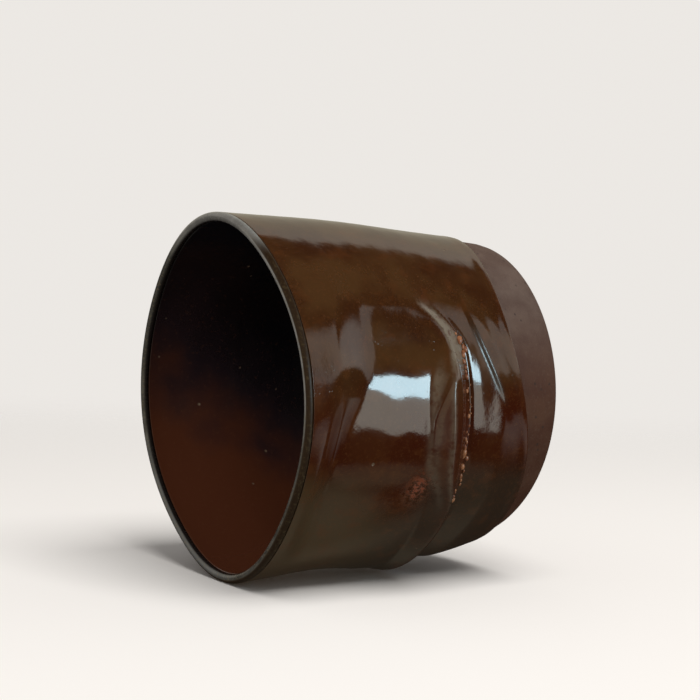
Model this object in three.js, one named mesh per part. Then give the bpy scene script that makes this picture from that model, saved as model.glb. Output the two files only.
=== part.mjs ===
// Stoneware cup without a handle: a thrown wall that was pressed in on one side while it was soft,
// so that it slumped into a thick fold over a crease, then glazed outside, inside and over the lip.
// Millimetres and degrees. +Z points out of the mouth, the origin is the middle of the flat foot,
// and the pressed side faces -Y.
import * as THREE from "three";

const { clamp, degToRad, euclideanModulo, lerp, smoothstep } = THREE.MathUtils;

// Thrown form, before it is pressed
const CUP_HEIGHT = 78;
const MOUTH_RADIUS = 45.4;
const FOOT_RADIUS = 38;
const FOOT_EDGE_ROUND = 1.4;
const WALL_CURVE = 1.45;
const WALL_THICKNESS = 4.6;
const LIP_THICKNESS = 2.4;
const LIP_THINNING = 24;
const FLOOR_THICKNESS = 7;
const FLOOR_CORNER_RADIUS = 11;

// Glaze skins
const GLAZE_THICKNESS = 0.5;
const GLAZE_CLEARANCE = 0.3;
const GLAZE_LINE_HEIGHT = 6;
const GLAZE_LINE_RISE = 8.5;
const GLAZE_LINE_RISE_SIDE = 24;
const GLAZE_LINE_RISE_SPREAD = 52;
const GLAZE_LINE_FREE_HEIGHT = 24;
const GLAZE_ROLL_HEIGHT = 0.09;
const GLAZE_ROLL_WIDTH = 1.3;
const RIM_BAND_WIDTH = 1.5;

// Mouth, drawn slightly square
const MOUTH_SQUARING = 0.9;
const MOUTH_SQUARING_TURN = 5;

// Angles round the cup count from the pressed side, towards +X.
const PRESSED_SIDE = -90;

// Hollow where the thumb pressed the wall in: it falls from the mouth into a valley, whose course
// climbs per degree on one side of the middle and falls on the other, and rises again up a long
// flank to the roll
const VALLEY_HEIGHT = 63.8;
const VALLEY_CLIMB = -0.15;
const VALLEY_CLIMB_END = -26;
const VALLEY_FALL = 0.34;
const VALLEY_FALL_SIDE = -6;
const VALLEY_FALL_SPAN = 18;
const VALLEY_TURN = 3;
const VALLEY_ROUND = 0.6;
const MOUTH_SLOPE = 0.37;
const FLANK_SLOPE = 0.19;
const FLANK_EASE = 0.15;
const HOLLOW_START = 60;
const HOLLOW_START_FADE = 50;
const HOLLOW_FULL = -34;
const HOLLOW_END = -66;
const HOLLOW_TOP = 66;
const HOLLOW_TOP_FADE = 9;

// Crease, and the roll of clay above it: its face rises to a crest, which falls away to the crease.
// The crease is tilted, and its upper end curls towards the mouth.
const CREASE_HEIGHT = 29;
const CREASE_TILT = 3;
const CREASE_CURL = 0.02;
const CREASE_CURL_SIDE = 13;
const CREASE_CURL_END = 30;
const CREASE_DEPTH = 0.4;
const CREASE_WIDTH = 1.6;
const FOLD_START = 42;
const FOLD_START_FADE = 26;
const FOLD_END = -135;
const FOLD_END_FADE = 45;
const ROLL_START = 31;
const ROLL_START_FADE = 9;
const ROLL_SLOPE = 0.6;
const ROLL_SHARPNESS = 0.7;
const ROLL_RISE = 4.7;
const ROLL_SWELL_RISE = 3.9;
const ROLL_SWELL_SIDE = -12;
const ROLL_SWELL_SPREAD = 22;
const ROLL_SWELL_STEEPNESS = 4;
const ROLL_THIN_WIDTH = 3;
const ROLL_FULL_WIDTH = 5.4;
const ROLL_THIN_SIDE = 18;
const ROLL_WIDE_SIDE = 3;
const ROLL_LOW_SHARE = 0.35;
const ROLL_LOW_SIDE = -95;
const ROLL_FULL_SIDE = -45;

// Tucked wall that slopes in from its foot to the crease, less at its upper end, under a pleat that
// runs down to the glaze line
const TUCK_SLOPE_LOW = 0.24;
const TUCK_SLOPE_HIGH = 0.08;
const TUCK_STEEP_SIDE = -18;
const TUCK_SHALLOW_SIDE = 22;
const TUCK_FOOT = 18.5;
const TUCK_EASE = 0.4;
const TUCK_UNDER_ROLL = 1;
const TUCK_FADE = 5;
const PLEAT_HEIGHT = 20.2;
const PLEAT_CLIMB = 0.34;
const PLEAT_CLIMB_START = 34;
const PLEAT_CLIMB_END = -40;
const PLEAT_BEND = 0.0035;
const PLEAT_EDGE = 0.9;

// Sag of the wall on the side that the fold runs out to
const SAG_DEPTH = 4.6;
const SAG_SIDE = -92;
const SAG_SPREAD = 28;
const SAG_HEIGHT = 22;
const SAG_REACH = 26;
const SAG_STEEPNESS = 3;

// How the inside of the wall follows the pressing
const INSIDE_HOLLOW_SHARE = 0.95;
const INSIDE_FOLD_DEPTH = 3.4;
const INSIDE_FOLD_WIDTH = 7;

// Facets: turns are crowded on the pressed side, rings are crowded at the fold
const TURNS = 48;
const TURN_CROWDING = 0.55;
const TURN_CROWDING_SIDE = -20;
const FOLD_RINGS_BELOW = 8;
const FOLD_RINGS_ABOVE = 16;
const RING_STEPS_LOW = 5;
const RING_STEPS_FOLD = 14;
const RING_STEPS_HIGH = 8;
const RING_CROWDING_LOW = 1.4;
const RING_STEPS_INSIDE = 9;
const CORNER_STEPS = 5;
const LIP_STEPS = 4;

const SKIN_DEPTH = GLAZE_THICKNESS + GLAZE_CLEARANCE;
const LIP_CENTRE_HEIGHT = CUP_HEIGHT - LIP_THICKNESS / 2;
const RIM_BAND_HEIGHT = CUP_HEIGHT - RIM_BAND_WIDTH;
const WALL_GLAZE_TOP = RIM_BAND_HEIGHT - GLAZE_CLEARANCE;
const FLOOR_CORNER_TOP = FLOOR_THICKNESS + FLOOR_CORNER_RADIUS;

const bell = (x) => Math.exp(-x * x);
const dome = (x, steepness) => Math.exp(-(Math.abs(x) ** steepness));
const softMax = (a, b, ease) => ease * Math.log(Math.exp(a / ease) + Math.exp(b / ease));
const softMin = (a, b, ease) => -softMax(-a, -b, ease);
const before = (side, end, fade) => 1 - smoothstep(side, end - fade, end);
const turnBetween = (from, to) => euclideanModulo(to - from + 180, 360) - 180;

// Thrown radii of the glazed outside and inside
function outsideRadius(height) {
  const below = clamp(1 - height / CUP_HEIGHT, 0, 1);
  return MOUTH_RADIUS - (MOUTH_RADIUS - FOOT_RADIUS - SKIN_DEPTH) * below ** WALL_CURVE;
}

function insideRadius(height) {
  const thinning = smoothstep(height, LIP_CENTRE_HEIGHT - LIP_THINNING, LIP_CENTRE_HEIGHT);
  return outsideRadius(height) - lerp(WALL_THICKNESS, LIP_THICKNESS, thinning);
}

// Course of the crease and of the roll above it
function creaseHeight(side) {
  const curl = clamp(side, CREASE_CURL_SIDE, CREASE_CURL_END) - CREASE_CURL_SIDE;
  return CREASE_HEIGHT + CREASE_TILT * Math.sin(degToRad(side)) + CREASE_CURL * curl ** 2;
}

function crestHeight(side) {
  const across = (side - ROLL_SWELL_SIDE) / ROLL_SWELL_SPREAD;
  return creaseHeight(side) + ROLL_RISE + ROLL_SWELL_RISE * dome(across, ROLL_SWELL_STEEPNESS);
}

const rollFullness = (side) => 1 - smoothstep(side, ROLL_WIDE_SIDE, ROLL_THIN_SIDE);
const rollWidth = (side) => lerp(ROLL_THIN_WIDTH, ROLL_FULL_WIDTH, rollFullness(side));
const rollSlope = (side) => lerp(FLANK_SLOPE, ROLL_SLOPE, rollFullness(side));

// The pressing, as millimetres outwards at an angle and a height
function mouthSquaring(side, height) {
  const turn = degToRad(4 * (PRESSED_SIDE + side - MOUTH_SQUARING_TURN));
  return MOUTH_SQUARING * Math.cos(turn) * clamp(height / CUP_HEIGHT, 0, 1) ** 2;
}

function hollow(side, height) {
  const edge = crestHeight(side) + rollWidth(side);
  const climb = VALLEY_CLIMB * clamp(side, VALLEY_CLIMB_END, 0);
  const past = softMax(side - VALLEY_FALL_SIDE, 0, VALLEY_TURN);
  const valley = VALLEY_HEIGHT + climb - VALLEY_FALL * softMin(past, VALLEY_FALL_SPAN, VALLEY_TURN);
  const flank = FLANK_SLOPE * (height - edge);
  const fromMouth = FLANK_SLOPE * (valley - edge) - MOUTH_SLOPE * (height - valley);
  const depth = softMax(softMin(flank, fromMouth, VALLEY_ROUND), 0, FLANK_EASE);
  const belowLip = 1 - smoothstep(height, HOLLOW_TOP, HOLLOW_TOP + HOLLOW_TOP_FADE);
  const ending = smoothstep(side, HOLLOW_END, HOLLOW_FULL);
  return -depth * before(side, HOLLOW_START, HOLLOW_START_FADE) * ending * belowLip;
}

function sag(side, height) {
  const across = turnBetween(SAG_SIDE, side) / SAG_SPREAD;
  return SAG_DEPTH * bell(across) * dome((height - SAG_HEIGHT) / SAG_REACH, SAG_STEEPNESS);
}

// Shares that the fold and the roll fade with round the cup
const foldEnding = (side) => smoothstep(side, FOLD_END, FOLD_END + FOLD_END_FADE);
const foldStrength = (side) => foldEnding(side) * before(side, FOLD_START, FOLD_START_FADE);
const rollBegun = (side) => before(side, ROLL_START, ROLL_START_FADE);

function rollStrength(side) {
  const low = lerp(ROLL_LOW_SHARE, 1, smoothstep(side, ROLL_LOW_SIDE, ROLL_FULL_SIDE));
  return low * foldEnding(side) * rollBegun(side);
}

function tuck(side, height) {
  const climb = PLEAT_CLIMB * clamp(side, PLEAT_CLIMB_END, PLEAT_CLIMB_START);
  const pleat = PLEAT_HEIGHT + climb - PLEAT_BEND * clamp(side, 0, PLEAT_CLIMB_START) ** 2;
  const shallow = smoothstep(side, TUCK_STEEP_SIDE, TUCK_SHALLOW_SIDE);
  const slope = lerp(TUCK_SLOPE_LOW, TUCK_SLOPE_HIGH, shallow);
  const depth = slope * softMax(height - TUCK_FOOT, 0, TUCK_EASE);
  const abovePleat = smoothstep(height, pleat - PLEAT_EDGE, pleat + PLEAT_EDGE);
  const under = creaseHeight(side) + TUCK_UNDER_ROLL;
  return -depth * abovePleat * (1 - smoothstep(height, under, under + TUCK_FADE));
}

function roll(side, height) {
  const above = height - crestHeight(side);
  const top = rollSlope(side) * rollWidth(side);
  const face = top - rollSlope(side) * above;
  const under = top * (1 + above / (crestHeight(side) - creaseHeight(side)));
  return rollStrength(side) * softMax(softMin(face, under, ROLL_SHARPNESS), 0, FLANK_EASE);
}

function fold(side, height) {
  const above = (height - creaseHeight(side)) / CREASE_WIDTH;
  const crease = CREASE_DEPTH * bell(above) * rollBegun(side);
  return roll(side, height) + foldStrength(side) * (tuck(side, height) - crease);
}

function outsidePress(side, height) {
  const wide = mouthSquaring(side, height) + sag(side, height);
  return wide + hollow(side, height) + fold(side, height);
}

function insidePress(side, height) {
  const above = (height - creaseHeight(side)) / INSIDE_FOLD_WIDTH;
  const bulge = INSIDE_FOLD_DEPTH * foldStrength(side) * bell(above);
  const wide = mouthSquaring(side, height) + sag(side, height);
  return wide + INSIDE_HOLLOW_SHARE * hollow(side, height) - bulge;
}

// Upward drift of the outside: the glaze line climbs on the pressed side, the crease is tilted
function drift(side, height) {
  const free = smoothstep(height, FOOT_EDGE_ROUND, GLAZE_LINE_HEIGHT);
  const fading = 1 - smoothstep(height, GLAZE_LINE_HEIGHT, GLAZE_LINE_FREE_HEIGHT);
  const across = turnBetween(GLAZE_LINE_RISE_SIDE, side) / GLAZE_LINE_RISE_SPREAD;
  const climb = GLAZE_LINE_RISE * bell(across) * fading;
  const level = (height - CREASE_HEIGHT) / (FOLD_RINGS_BELOW + FOLD_RINGS_ABOVE);
  const tilt = CREASE_TILT * Math.sin(degToRad(side)) * bell(level);
  return free * (climb + tilt);
}

// Where the pressing takes a point of the thrown form. inward runs from 0, outside, to 1, inside.
function pressed({ radius, height, inward }, side) {
  const raised = height + drift(side, height);
  const leaning = outsideRadius(raised) - outsideRadius(height);
  const outside = leaning + outsidePress(side, raised);
  const outwards = radius > 0 ? lerp(outside, insidePress(side, height), inward) : 0;
  const angle = degToRad(PRESSED_SIDE + side);
  const up = lerp(raised, height, inward);
  return new THREE.Vector3((radius + outwards) * Math.cos(angle), (radius + outwards) * Math.sin(angle), up);
}

function turnSide(turn) {
  const even = (2 * Math.PI * (turn % TURNS)) / TURNS - Math.PI;
  const crowded = even - TURN_CROWDING * Math.sin(even);
  return turnBetween(0, TURN_CROWDING_SIDE + THREE.MathUtils.radToDeg(crowded));
}

// A solid thrown from a profile and then pressed. Faces that lie against each other are cut along
// the same diagonals, whichever way their profiles run, so that nested skins stay parallel.
function thrown(profile) {
  const outline = profile.map((point) => new THREE.Vector2(point.radius, point.height));
  const geometry = new THREE.LatheGeometry(outline, TURNS);
  const position = geometry.getAttribute("position");
  const rows = profile.length;
  for (let i = 0; i < position.count; i++) {
    const moved = pressed(profile[i % rows], turnSide(Math.floor(i / rows)));
    position.setXYZ(i, moved.x, moved.y, moved.z);
  }
  const faces = [];
  for (let turn = 0; turn < TURNS; turn++) {
    for (let row = 0; row < rows - 1; row++) {
      const a = turn * rows + row;
      const b = a + rows;
      const c = b + 1;
      const d = a + 1;
      const rises = profile[row + 1].height >= profile[row].height;
      faces.push(...(rises ? [a, b, d, c, d, b] : [a, b, c, a, c, d]));
    }
  }
  geometry.setIndex(faces);
  geometry.deleteAttribute("uv");
  geometry.computeVertexNormals();
  return geometry;
}

// Profile stretches
const point = (radius, height, inward) => ({ radius, height, inward });
const span = (from, to, steps, crowding = 1) =>
  Array.from({ length: steps }, (_, i) => lerp(from, to, (i / steps) ** crowding));

// Ring heights up the outside, from the glaze line to the rim band
function outsideRings() {
  const foldBottom = CREASE_HEIGHT - FOLD_RINGS_BELOW;
  const foldTop = CREASE_HEIGHT + FOLD_RINGS_ABOVE;
  return [
    ...span(GLAZE_LINE_HEIGHT, foldBottom, RING_STEPS_LOW, RING_CROWDING_LOW),
    ...span(foldBottom, foldTop, RING_STEPS_FOLD),
    ...span(foldTop, WALL_GLAZE_TOP, RING_STEPS_HIGH),
    WALL_GLAZE_TOP,
  ];
}

function insideRings() {
  return [...span(FLOOR_CORNER_TOP, WALL_GLAZE_TOP, RING_STEPS_INSIDE), WALL_GLAZE_TOP];
}

// Outside wall at a depth under the glazed face, rising
function outsideWall(depth) {
  return outsideRings().map((height) => point(outsideRadius(height) - depth, height, 0));
}

// Inside wall, floor corner and floor at a depth under the glazed face, falling to the axis
function insideBowl(depth) {
  const wall = insideRings().map((height) => point(insideRadius(height) + depth, height, 1));
  const cornerRadius = FLOOR_CORNER_RADIUS + depth;
  const cornerAxis = insideRadius(FLOOR_CORNER_TOP) - FLOOR_CORNER_RADIUS;
  const corner = [];
  for (let i = 1; i <= CORNER_STEPS; i++) {
    const turn = (Math.PI / 2) * (i / CORNER_STEPS);
    const radius = cornerAxis + cornerRadius * Math.cos(turn);
    corner.push(point(radius, FLOOR_CORNER_TOP - cornerRadius * Math.sin(turn), 1));
  }
  return [...wall.reverse(), ...corner, point(0, FLOOR_THICKNESS - depth, 1)];
}

// Lip at a depth under the glazed face, over the top from outside to inside
function lip(depth) {
  const centre = outsideRadius(LIP_CENTRE_HEIGHT) - LIP_THICKNESS / 2;
  const round = LIP_THICKNESS / 2 - depth;
  const points = [point(outsideRadius(RIM_BAND_HEIGHT) - depth, RIM_BAND_HEIGHT, 0)];
  for (let i = 0; i <= LIP_STEPS; i++) {
    const turn = Math.PI * (i / LIP_STEPS);
    const height = LIP_CENTRE_HEIGHT + round * Math.sin(turn);
    points.push(point(centre + round * Math.cos(turn), height, i / LIP_STEPS));
  }
  points.push(point(insideRadius(RIM_BAND_HEIGHT) + depth, RIM_BAND_HEIGHT, 1));
  return points;
}

// Clay: flat foot, bare foot band, wall, lip and floor, thrown from one lump
function clayProfile() {
  const edge = FOOT_RADIUS - FOOT_EDGE_ROUND;
  const foot = [point(0, 0, 0), point(edge, 0, 0)];
  for (const turn of [30, 60, 90]) {
    const out = FOOT_EDGE_ROUND * Math.sin(degToRad(turn));
    foot.push(point(edge + out, FOOT_EDGE_ROUND * (1 - Math.cos(degToRad(turn))), 0));
  }
  return [...foot, ...outsideWall(SKIN_DEPTH), ...lip(SKIN_DEPTH), ...insideBowl(SKIN_DEPTH)];
}

// Outside glaze: from its rolled lower edge up to the rim band
function outerGlazeProfile() {
  const face = outsideWall(0);
  for (const ring of face) {
    const above = (ring.height - GLAZE_LINE_HEIGHT) / GLAZE_ROLL_WIDTH - 1;
    ring.radius += GLAZE_ROLL_HEIGHT * bell(above);
  }
  const back = outsideWall(GLAZE_THICKNESS).reverse();
  return [...face, ...back, face[0]];
}

// Inside glaze: a bowl of two parallel faces
function linerGlazeProfile() {
  const face = insideBowl(0);
  const back = insideBowl(GLAZE_THICKNESS).reverse();
  return [...back, ...face];
}

// Rim glaze: a band bent over the lip
function rimGlazeProfile() {
  const face = lip(0);
  const back = lip(GLAZE_THICKNESS).reverse();
  return [...face, ...back, face[0]];
}

const fired = (color, roughness, metalness = 0) =>
  new THREE.MeshStandardMaterial({ color, roughness, metalness });

function piece(name, profile, material) {
  const mesh = new THREE.Mesh(thrown(profile), material);
  mesh.name = name;
  return mesh;
}

const cup = new THREE.Group();
cup.name = "stoneware_cup";
cup.add(piece("clay_body", clayProfile(), fired(0x4b362c, 0.85)));
cup.add(piece("outer_glaze", outerGlazeProfile(), fired(0x2d1a10, 0.15)));
cup.add(piece("liner_glaze", linerGlazeProfile(), fired(0x1a100d, 0.2)));
cup.add(piece("rim_glaze", rimGlazeProfile(), fired(0x403d39, 0.25, 0.3)));

export default cup;
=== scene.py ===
# Looks of the stoneware cup: finely pressed clay and glaze in place of the plain solids, the crumbs of
# clay caught in the crease, the fired finishes, and a pale studio in which the cup lies on its side.
# Lengths in the form's own values are millimetres and angles are degrees, as in the solids. MM turns
# them into the metres that the scene is built in.
import math
import random

import bmesh
import bpy
import numpy as np
from mathutils import Matrix, Vector


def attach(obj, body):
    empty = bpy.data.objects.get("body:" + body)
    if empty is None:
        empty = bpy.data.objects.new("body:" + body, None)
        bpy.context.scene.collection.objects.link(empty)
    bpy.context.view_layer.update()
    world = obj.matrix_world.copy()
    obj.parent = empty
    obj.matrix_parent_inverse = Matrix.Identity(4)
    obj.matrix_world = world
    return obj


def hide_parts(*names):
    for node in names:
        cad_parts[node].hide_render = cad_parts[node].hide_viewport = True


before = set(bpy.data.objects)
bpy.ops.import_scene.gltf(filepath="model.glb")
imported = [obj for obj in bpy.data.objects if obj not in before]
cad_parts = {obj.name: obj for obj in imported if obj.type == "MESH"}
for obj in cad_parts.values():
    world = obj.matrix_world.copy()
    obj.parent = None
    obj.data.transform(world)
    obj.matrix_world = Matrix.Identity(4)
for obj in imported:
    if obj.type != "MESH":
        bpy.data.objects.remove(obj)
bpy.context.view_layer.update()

MM = 0.001

# Thrown form, before it is pressed
CUP_HEIGHT = 78
MOUTH_RADIUS = 45.4
FOOT_RADIUS = 38
FOOT_EDGE_ROUND = 1.4
WALL_CURVE = 1.45
WALL_THICKNESS = 4.6
LIP_THICKNESS = 2.4
LIP_THINNING = 24
FLOOR_THICKNESS = 7
FLOOR_CORNER_RADIUS = 11

# Glaze skins
GLAZE_THICKNESS = 0.5
GLAZE_CLEARANCE = 0.3
GLAZE_LINE_HEIGHT = 6
GLAZE_LINE_RISE = 8.5
GLAZE_LINE_RISE_SIDE = 24
GLAZE_LINE_RISE_SPREAD = 52
GLAZE_LINE_FREE_HEIGHT = 24
GLAZE_ROLL_HEIGHT = 0.09
GLAZE_ROLL_WIDTH = 1.3
RIM_BAND_WIDTH = 1.5

# Pressing: angles round the cup count from the pressed side, towards +X
PRESSED_SIDE = -90
MOUTH_SQUARING = 0.9
MOUTH_SQUARING_TURN = 5
VALLEY_HEIGHT = 63.8
VALLEY_CLIMB = -0.15
VALLEY_CLIMB_END = -26
VALLEY_FALL = 0.34
VALLEY_FALL_SIDE = -6
VALLEY_FALL_SPAN = 18
VALLEY_TURN = 3
VALLEY_ROUND = 0.6
MOUTH_SLOPE = 0.37
FLANK_SLOPE = 0.19
FLANK_EASE = 0.15
HOLLOW_START = 60
HOLLOW_START_FADE = 50
HOLLOW_FULL = -34
HOLLOW_END = -66
HOLLOW_TOP = 66
HOLLOW_TOP_FADE = 9
CREASE_HEIGHT = 29
CREASE_TILT = 3
CREASE_CURL = 0.02
CREASE_CURL_SIDE = 13
CREASE_CURL_END = 30
CREASE_DEPTH = 0.4
CREASE_WIDTH = 0.6
FOLD_START = 42
FOLD_START_FADE = 26
FOLD_END = -135
FOLD_END_FADE = 45
FOLD_REACH = 24
ROLL_START = 31
ROLL_START_FADE = 9
ROLL_SLOPE = 0.6
ROLL_SHARPNESS = 0.08
ROLL_RISE = 4.7
ROLL_SWELL_RISE = 3.9
ROLL_SWELL_SIDE = -12
ROLL_SWELL_SPREAD = 22
ROLL_SWELL_STEEPNESS = 4
ROLL_THIN_WIDTH = 3
ROLL_FULL_WIDTH = 5.4
ROLL_THIN_SIDE = 18
ROLL_WIDE_SIDE = 3
ROLL_LOW_SHARE = 0.35
ROLL_LOW_SIDE = -95
ROLL_FULL_SIDE = -45
TUCK_SLOPE_LOW = 0.24
TUCK_SLOPE_HIGH = 0.08
TUCK_STEEP_SIDE = -18
TUCK_SHALLOW_SIDE = 22
TUCK_FOOT = 18.5
TUCK_EASE = 0.4
TUCK_UNDER_ROLL = 1
TUCK_FADE = 5
PLEAT_HEIGHT = 20.2
PLEAT_CLIMB = 0.34
PLEAT_CLIMB_START = 34
PLEAT_CLIMB_END = -40
PLEAT_BEND = 0.0035
PLEAT_EDGE = 0.4
SAG_DEPTH = 4.6
SAG_SIDE = -92
SAG_SPREAD = 28
SAG_HEIGHT = 22
SAG_REACH = 26
SAG_STEEPNESS = 3
INSIDE_HOLLOW_SHARE = 0.95
INSIDE_FOLD_DEPTH = 3.4
INSIDE_FOLD_WIDTH = 7

# Lesser pleats, as height at the middle of the pressed side, climb, middle, spread, width and depth
LESSER_PLEATS = (
    (17.0, 0.27, 5, 20, 1.2, 0.09),
    (14.6, 0.20, 5, 15, 1.2, 0.12),
)
PLEAT_VALLEY_SHARE = 0.8

# Fine form of the fold and the wall, which the solids leave out
FURROW_DEPTH = 0.3
FURROW_WIDTH = 0.55
FURROW_REACH = 4.2
FURROW_START_SIDE = 8
FURROW_END_SIDE = -11
FURROW_SIDE = -6
FURROW_SPREAD = 15
STREAK_HEIGHT = 0.05
STREAK_PITCH = 0.85
STREAK_WIDTH = 1.5
STREAK_SIDE = 17
STREAK_SPREAD = 13
BROW_SLOPE = 0.09
BROW_DROP = 3.4
BROW_EASE = 0.3
BROW_SHARE = 0.35
BROW_SIDE = 2
BROW_SPREAD = 14
TWIST = 0.0075
TWIST_SIDE = -2
TWIST_SPREAD = 16
TWIST_HEIGHT = 54
TWIST_REACH = 11
DENT_DEPTH = 0.05
DENT_TURN = 13
DENT_RISE = 11
HAND_WAVE = 0.10
THROWING_RING_HEIGHT = 0.010
THROWING_RING_PITCH = 6.3

# Slow waves of the hand, as count round the cup, rise and start
HAND_WAVES = ((3, 11, 0), (5, -7, 1))

# Crumbs of clay in the crease
CRUMB_SEED = 7
CRUMB_FORM = (1.0, 0.8, 0.75)
CRUMB_SIZE = 0.8
CRUMB_LEAST = 0.25
CRUMB_BIG_LEAST = 0.4
CRUMB_BIG_CHANCE = 0.7
CRUMB_ODD_CHANCE = 0.6
CRUMB_STRETCH = 0.6
CRUMB_LEAN = 0.5
CRUMB_TIP = 0.6
CRUMB_SPACING = 1.5
CRUMB_CLOSEST = 0.6
CRUMB_GAP_CHANCE = 1.5
CRUMB_GAP_OF_SMALL = 1.2
CRUMB_FIRST_SIDE = 20
CRUMB_LAST_SIDE = -46
CRUMB_BIG_SIDES = (14, -24)
CRUMB_BIG_SPREAD = 6
CRUMB_RISE = 0.4
CRUMB_WANDER = 1.7

# Marks in the outer glaze. Four sides or shares are where a mark begins, is full, fades and ends.
THIN_UNDER_ROLL = 2.2
THIN_UNDER_REACH = 1.6
THIN_UNDER_STRENGTH = 0.9
THIN_CREST_REACH = 2.2
THIN_CREST_STRENGTH = 0.4
THIN_LINE_REACH = 1.2
THIN_LINE_STRENGTH = 0.5
SATIN_SIDES = (-165, -110, -38, -22)
GLOSSY_SIDE = -36
GLOSSY_SPREAD = 10
GLOSSY_HEIGHT = 47
GLOSSY_REACH = 9
SATIN_PLEAT_SIDES = (-8, 2, 18, 28)
SATIN_PLEAT_REACH = 0.9
RIDGE_UPPER_SIDES = (4, 13, 25, 34)
RIDGE_UPPER_SHARES = (0.1, 0.35, 1.0, 1.25)
RIDGE_LOWER_SIDES = (-45, -30, 4, 13)
RUST_SIDE = -33
RUST_SPREAD = 5
RUST_HEIGHT = 42
RUST_REACH = 2.4

# Pale edges of the roll's full part, painted highlights, as share, width and strength
RIDGE_LOWER_EDGES = ((1.52, 0.16, 0.45), (1.03, 0.09, 0.495))

# Mesh: turns are crowded on the pressed side, rings at the fold
TURNS = 256
MOST_CUTS = 100
LEVEL_WITHIN = 0.0001
TURN_CROWDING = 0.6
TURN_CROWDING_SIDE = -16
EDGE_RING = 0.05
RING_SHARES = (0, 0.08, 0.25, 0.76, 1)
RINGS_ABOVE_LINE = 3
RINGS_BELOW_CREASE = 8
RINGS_ABOVE_CREASE = 17

SKIN_DEPTH = GLAZE_THICKNESS + GLAZE_CLEARANCE
LIP_CENTRE_HEIGHT = CUP_HEIGHT - LIP_THICKNESS / 2
RIM_BAND_HEIGHT = CUP_HEIGHT - RIM_BAND_WIDTH
WALL_GLAZE_TOP = RIM_BAND_HEIGHT - GLAZE_CLEARANCE
FLOOR_CORNER_TOP = FLOOR_THICKNESS + FLOOR_CORNER_RADIUS
RING_HEIGHTS = (
    GLAZE_LINE_HEIGHT, GLAZE_LINE_HEIGHT + RINGS_ABOVE_LINE, CREASE_HEIGHT - RINGS_BELOW_CREASE,
    CREASE_HEIGHT + RINGS_ABOVE_CREASE, WALL_GLAZE_TOP,
)


def bell(offset):
    return np.exp(-offset * offset)


def dome(offset, steepness):
    return np.exp(-np.abs(offset) ** steepness)


def smooth(value, low, high):
    share = np.clip((value - low) / (high - low), 0, 1)
    return share * share * (3 - 2 * share)


# Rises from begin to whole, and falls from fade to end
def between(value, begin, whole, fade, end):
    return smooth(value, begin, whole) * (1 - smooth(value, fade, end))


def soft_max(first, second, ease):
    return ease * np.logaddexp(first / ease, second / ease)


def soft_min(first, second, ease):
    return -soft_max(-first, -second, ease)


def turn_between(start, end):
    return (end - start + 180) % 360 - 180


# Thrown radii of the glazed outside and inside
def outside_radius(height):
    below = np.clip(1 - height / CUP_HEIGHT, 0, 1)
    return MOUTH_RADIUS - (MOUTH_RADIUS - FOOT_RADIUS - SKIN_DEPTH) * below ** WALL_CURVE


def inside_radius(height):
    thinning = smooth(height, LIP_CENTRE_HEIGHT - LIP_THINNING, LIP_CENTRE_HEIGHT)
    return outside_radius(height) - WALL_THICKNESS + (WALL_THICKNESS - LIP_THICKNESS) * thinning


# Course of the crease and of the roll above it
def crease_height(side):
    curl = np.clip(side, CREASE_CURL_SIDE, CREASE_CURL_END) - CREASE_CURL_SIDE
    return CREASE_HEIGHT + CREASE_TILT * np.sin(np.radians(side)) + CREASE_CURL * curl ** 2


def crest_height(side):
    across = (side - ROLL_SWELL_SIDE) / ROLL_SWELL_SPREAD
    return crease_height(side) + ROLL_RISE + ROLL_SWELL_RISE * dome(across, ROLL_SWELL_STEEPNESS)


def roll_fullness(side):
    return 1 - smooth(side, ROLL_WIDE_SIDE, ROLL_THIN_SIDE)


def roll_width(side):
    return ROLL_THIN_WIDTH + (ROLL_FULL_WIDTH - ROLL_THIN_WIDTH) * roll_fullness(side)


def roll_slope(side):
    return FLANK_SLOPE + (ROLL_SLOPE - FLANK_SLOPE) * roll_fullness(side)


def fold_strength(side):
    begun = 1 - smooth(side, FOLD_START - FOLD_START_FADE, FOLD_START)
    return begun * smooth(side, FOLD_END, FOLD_END + FOLD_END_FADE)


def roll_begun(side):
    return 1 - smooth(side, ROLL_START - ROLL_START_FADE, ROLL_START)


def roll_strength(side):
    low = ROLL_LOW_SHARE + (1 - ROLL_LOW_SHARE) * smooth(side, ROLL_LOW_SIDE, ROLL_FULL_SIDE)
    return roll_begun(side) * low * smooth(side, FOLD_END, FOLD_END + FOLD_END_FADE)


# The pressing, as millimetres outwards at an angle and a height
def mouth_squaring(side, height):
    turn = np.radians(4 * (PRESSED_SIDE + side - MOUTH_SQUARING_TURN))
    return MOUTH_SQUARING * np.cos(turn) * np.clip(height / CUP_HEIGHT, 0, 1) ** 2


def hollow(side, height):
    edge = crest_height(side) + roll_width(side)
    climb = VALLEY_CLIMB * np.clip(side, VALLEY_CLIMB_END, 0)
    past = soft_max(side - VALLEY_FALL_SIDE, 0, VALLEY_TURN)
    valley = VALLEY_HEIGHT + climb - VALLEY_FALL * soft_min(past, VALLEY_FALL_SPAN, VALLEY_TURN)
    flank = FLANK_SLOPE * (height - edge)
    from_mouth = FLANK_SLOPE * (valley - edge) - MOUTH_SLOPE * (height - valley)
    depth = soft_max(soft_min(flank, from_mouth, VALLEY_ROUND), 0, FLANK_EASE)
    below_lip = 1 - smooth(height, HOLLOW_TOP, HOLLOW_TOP + HOLLOW_TOP_FADE)
    begun = 1 - smooth(side, HOLLOW_START - HOLLOW_START_FADE, HOLLOW_START)
    return -depth * begun * smooth(side, HOLLOW_END, HOLLOW_FULL) * below_lip


def sag(side, height):
    across = turn_between(SAG_SIDE, side) / SAG_SPREAD
    return SAG_DEPTH * bell(across) * dome((height - SAG_HEIGHT) / SAG_REACH, SAG_STEEPNESS)


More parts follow.
